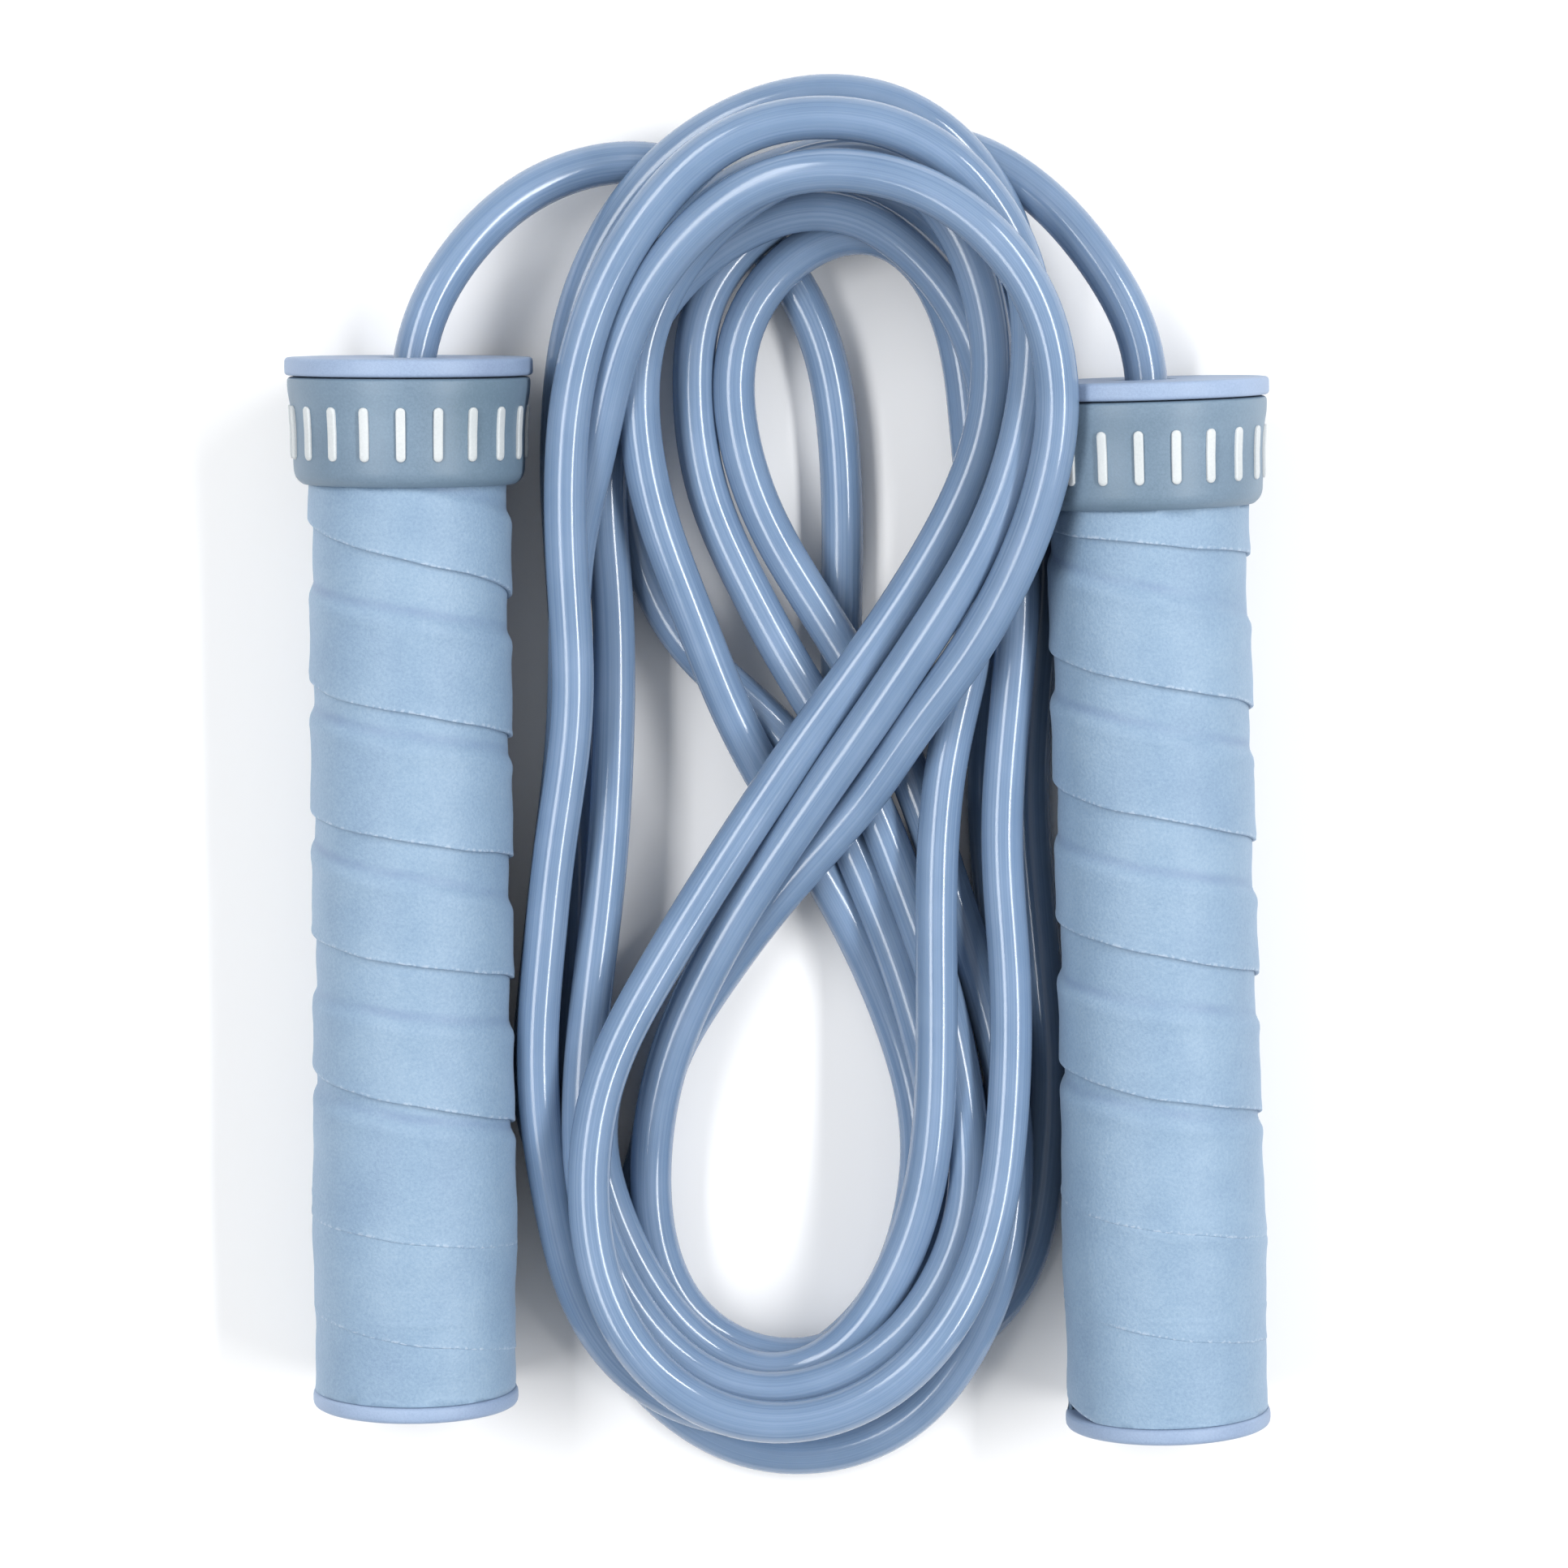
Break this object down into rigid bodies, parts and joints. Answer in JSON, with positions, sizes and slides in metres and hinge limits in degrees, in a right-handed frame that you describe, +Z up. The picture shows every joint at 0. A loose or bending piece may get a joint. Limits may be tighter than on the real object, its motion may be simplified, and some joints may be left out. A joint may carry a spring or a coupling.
{
  "type": "jump rope",
  "caption": "Jump rope folded into a hank, with tape-wrapped hollow handles that spin on the rope ends, flanged caps and silicone bands.",
  "frame": {"origin": "under the middle of the two handles, on the surface that they lie on", "axes": "+Z up from the surface; +Y along the handles, from the end caps to the flanges that the rope leaves; +X from the left handle to the right one"},
  "size_m": [0.1212, 0.1721, 0.0304],
  "materials": {
    "rope_pvc": "glossy extruded soft PVC",
    "stopper_metal": "crimped, satin",
    "washer_nylon": "moulded nylon",
    "core_plastic": "moulded, matte",
    "cap_plastic": "fine matte texture",
    "band_silicone": "satin silicone",
    "mark_silicone": "satin silicone, raised",
    "grip_tape": "suede-like polyurethane tape"
  },
  "bodies": {
    "rope": {"rope_hank": "rope_pvc", "rope_lead_left": "rope_pvc", "rope_end_left": "rope_pvc", "rope_stopper_left": "stopper_metal", "washer_left": "washer_nylon", "rope_lead_right": "rope_pvc", "rope_end_right": "rope_pvc", "rope_stopper_right": "stopper_metal", "washer_right": "washer_nylon"},
    "handle_left": {"core_tube_left": "core_plastic", "rope_cap_left": "cap_plastic", "silicone_band_left": "band_silicone", "band_marks_left": "mark_silicone", "grip_tape_left": "grip_tape", "end_cap_left": "cap_plastic"},
    "handle_right": {"core_tube_right": "core_plastic", "rope_cap_right": "cap_plastic", "silicone_band_right": "band_silicone", "band_marks_right": "mark_silicone", "grip_tape_right": "grip_tape", "end_cap_right": "cap_plastic"}
  },
  "joints": [
    {"name": "handle_left_spin", "type": "hinge", "parent": "rope", "child": "handle_left", "pos_m": [-0.04545, 0.06388, 0.0151], "axis": [0, 0.9998, 0.0188], "continuous": true},
    {"name": "handle_right_spin", "type": "hinge", "parent": "rope", "child": "handle_right", "pos_m": [0.04422, 0.06117, 0.0151], "axis": [-0.0297, 0.9994, 0.0188], "continuous": true}
  ]
}
